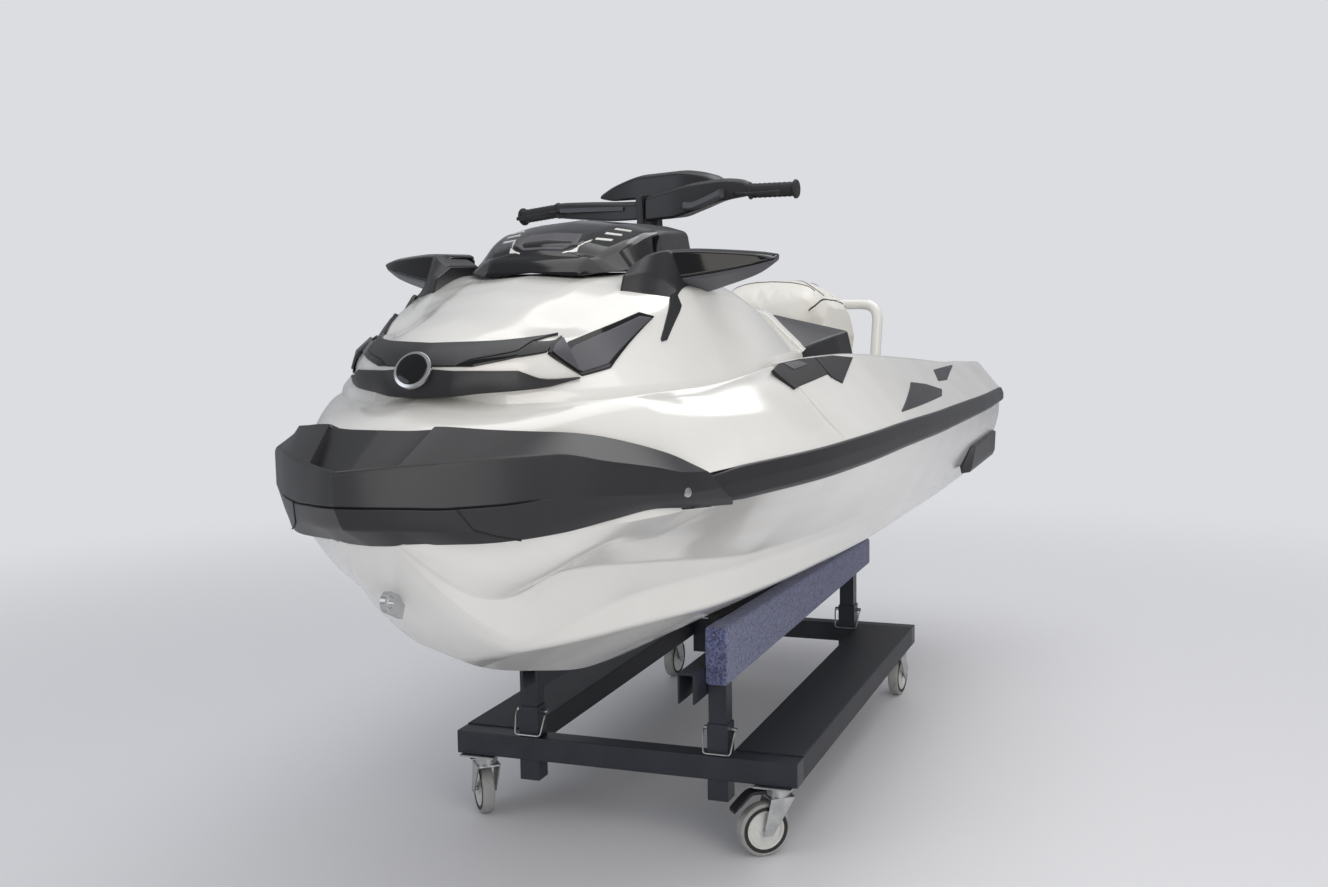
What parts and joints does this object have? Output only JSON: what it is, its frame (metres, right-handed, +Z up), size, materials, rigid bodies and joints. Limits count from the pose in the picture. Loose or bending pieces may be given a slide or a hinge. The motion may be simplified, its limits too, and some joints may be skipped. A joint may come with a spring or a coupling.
{
  "type": "personal watercraft on a display dolly",
  "caption": "Sit-on jet-driven personal watercraft with stepped seat, handlebar steering, opening lids and folding ladder, resting on the padded bunks of a wheeled caster dolly.",
  "frame": {"origin": "on the floor under the middle of the overall length", "axes": "X towards the bow, Y to port, Z up"},
  "size_m": [3.4402, 1.253, 1.5441],
  "materials": {
    "gelcoat_white": "glossy white gelcoat over laminate",
    "satin_charcoal": "satin moulded charcoal plastic",
    "gloss_black": "gloss black moulded plastic",
    "seat_vinyl": "marine vinyl in cream and charcoal",
    "cream_plastic": "cream moulded plastic",
    "grip_rubber": "soft ribbed rubber",
    "mat_foam": "grey grooved traction foam",
    "engine_block": "plain block",
    "cast_aluminium": "painted cast aluminium",
    "stainless": "stainless steel",
    "dolly_paint": "satin dark blue-black paint",
    "painted_board": "board under dark paint",
    "bunk_carpet": "blue-grey marine carpet",
    "zinc_steel": "bright zinc-plated steel",
    "grey_tread": "grey rubber tread",
    "hub_white": "pale moulded hub"
  },
  "bodies": {
    "root": {"hull": "gelcoat_white", "deck": "gelcoat_white", "foredeck": "gelcoat_white", "hood": "gelcoat_white", "bow_bumper": "satin_charcoal", "rub_rail": "satin_charcoal", "nose_panel": "satin_charcoal", "hex_panels": "satin_charcoal", "console": "satin_charcoal", "mirrors": "gloss_black", "knee_panels": "satin_charcoal", "engine": "engine_block", "grab_handle": "cream_plastic", "footwell_mats": "mat_foam", "platform_mat": "mat_foam", "sponsons": "satin_charcoal", "ride_plate": "cast_aluminium", "intake_grate": "cast_aluminium", "jet_pump": "cast_aluminium", "ladder_brackets": "stainless", "stern_eyes": "stainless", "bow_eye": "stainless", "dolly_crossbars": "dolly_paint", "dolly_planks": "painted_board", "post_sleeves": "dolly_paint", "bunk_posts": "dolly_paint", "lock_pins": "zinc_steel", "bunks": "bunk_carpet", "channel_rails": "zinc_steel", "bunk_cores": "painted_board", "caster_plates": "zinc_steel"},
    "storage_lid": {"storage_lid": "gloss_black"},
    "steering": {"steering_column": "satin_charcoal", "handlebar": "satin_charcoal", "grips": "grip_rubber"},
    "glovebox_lid": {"glovebox_lid": "satin_charcoal"},
    "front_seat": {"seat_front": "seat_vinyl"},
    "rear_seat": {"seat_rear": "seat_vinyl"},
    "impeller": {"impeller": "stainless"},
    "nozzle": {"nozzle": "cast_aluminium"},
    "reverse_bucket": {"reverse_bucket": "cast_aluminium"},
    "boarding_ladder": {"boarding_ladder": "stainless"},
    "caster_front_port": {"fork_front_port": "zinc_steel"},
    "wheel_front_port": {"tread_front_port": "grey_tread", "wheel_hub_front_port": "hub_white"},
    "caster_front_stbd": {"fork_front_stbd": "zinc_steel"},
    "wheel_front_stbd": {"tread_front_stbd": "grey_tread", "wheel_hub_front_stbd": "hub_white"},
    "caster_rear_port": {"fork_rear_port": "zinc_steel"},
    "wheel_rear_port": {"tread_rear_port": "grey_tread", "wheel_hub_rear_port": "hub_white"},
    "caster_rear_stbd": {"fork_rear_stbd": "zinc_steel"},
    "wheel_rear_stbd": {"tread_rear_stbd": "grey_tread", "wheel_hub_rear_stbd": "hub_white"}
  },
  "joints": [
    {"name": "steering", "type": "hinge", "parent": "root", "child": "steering", "pos_m": [0.346, 0, 1.345], "axis": [-0.342, 0, 0.9397], "range_deg": [-11, 29]},
    {"name": "nozzle_yaw", "type": "hinge", "parent": "root", "child": "nozzle", "pos_m": [-1.35, 0, 0.56], "axis": [0, 0, 1], "range_deg": [-26.1, 9.9]},
    {"name": "bucket_pivot", "type": "hinge", "parent": "root", "child": "reverse_bucket", "pos_m": [-1.362, 0, 0.56], "axis": [0, -1, 0], "range_deg": [0, 55]},
    {"name": "impeller_spin", "type": "hinge", "parent": "root", "child": "impeller", "pos_m": [-1.08, 0, 0.56], "axis": [1, 0, 0], "continuous": true},
    {"name": "storage_lid_hinge", "type": "hinge", "parent": "root", "child": "storage_lid", "pos_m": [1, 0, 1.348], "axis": [0, 1, 0], "range_deg": [0, 72]},
    {"name": "glovebox_hinge", "type": "hinge", "parent": "root", "child": "glovebox_lid", "pos_m": [0.291, 0, 1.29], "axis": [0, 1, 0], "range_deg": [0, 50]},
    {"name": "front_seat_lift", "type": "slide", "parent": "root", "child": "front_seat", "axis": [0, 0, 1], "range_m": [0, 0.25]},
    {"name": "rear_seat_lift", "type": "slide", "parent": "root", "child": "rear_seat", "axis": [0, 0, 1], "range_m": [0, 0.25]},
    {"name": "ladder_fold", "type": "hinge", "parent": "root", "child": "boarding_ladder", "pos_m": [-1.706, 0, 0.6], "axis": [0, -1, 0], "range_deg": [0, 165]},
    {"name": "swivel_front_port", "type": "hinge", "parent": "root", "child": "caster_front_port", "pos_m": [0.505, 0.375, 0.15], "axis": [0, 0, 1], "continuous": true},
    {"name": "spin_front_port", "type": "hinge", "parent": "caster_front_port", "child": "wheel_front_port", "pos_m": [0.52943, 0.34589, 0.0635], "axis": [0.766, 0.6428, 0], "continuous": true},
    {"name": "swivel_front_stbd", "type": "hinge", "parent": "root", "child": "caster_front_stbd", "pos_m": [0.505, -0.375, 0.15], "axis": [0, 0, 1], "continuous": true},
    {"name": "spin_front_stbd", "type": "hinge", "parent": "caster_front_stbd", "child": "wheel_front_stbd", "pos_m": [0.47589, -0.39943, 0.0635], "axis": [0.6428, -0.766, 0], "continuous": true},
    {"name": "swivel_rear_port", "type": "hinge", "parent": "root", "child": "caster_rear_port", "pos_m": [-0.83, 0.375, 0.15], "axis": [0, 0, 1], "continuous": true},
    {"name": "spin_rear_port", "type": "hinge", "parent": "caster_rear_port", "child": "wheel_rear_port", "pos_m": [-0.86786, 0.37831, 0.0635], "axis": [-0.0872, -0.9962, 0], "continuous": true},
    {"name": "swivel_rear_stbd", "type": "hinge", "parent": "root", "child": "caster_rear_stbd", "pos_m": [-0.83, -0.375, 0.15], "axis": [0, 0, 1], "continuous": true},
    {"name": "spin_rear_stbd", "type": "hinge", "parent": "caster_rear_stbd", "child": "wheel_rear_stbd", "pos_m": [-0.86798, -0.37367, 0.0635], "axis": [-0.0349, -0.9994, 0], "continuous": true}
  ],
  "couplings": [
    {"joint": "nozzle_yaw", "follows": "steering", "ratio": -0.9}
  ]
}
